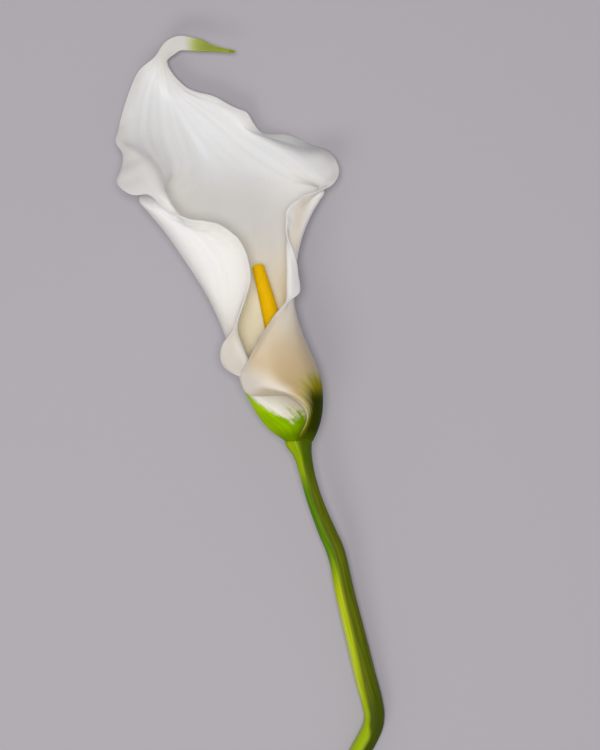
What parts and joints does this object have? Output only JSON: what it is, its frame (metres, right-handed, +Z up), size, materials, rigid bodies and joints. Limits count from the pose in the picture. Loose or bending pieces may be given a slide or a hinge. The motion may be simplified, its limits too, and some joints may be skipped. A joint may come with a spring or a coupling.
{
  "type": "calla lily flower",
  "caption": "Cut calla lily: a white funnel-shaped spathe with a curled tail, rolled round a yellow spadix, on a bent green stem, lying on its back.",
  "frame": {"origin": "centre of the bounding box's bottom face, on the table that the flower lies on", "axes": "+Z up from the table, +Y along the flower from the stem's cut end to the spathe's tail, +X to the right when the mouth of the spathe is seen from above with its tail away"},
  "size_m": [0.0813, 0.2941, 0.0356],
  "materials": {
    "spathe": "white waxy plant tissue with a satin surface, green at the base and at the tail's tip",
    "spadix": "golden yellow floret tissue, finely bumpy and matt",
    "stem": "fresh green stem skin with a satin surface"
  },
  "bodies": {
    "root": {"spathe": "spathe", "spadix": "spadix", "stem": "stem"}
  },
  "joints": []
}
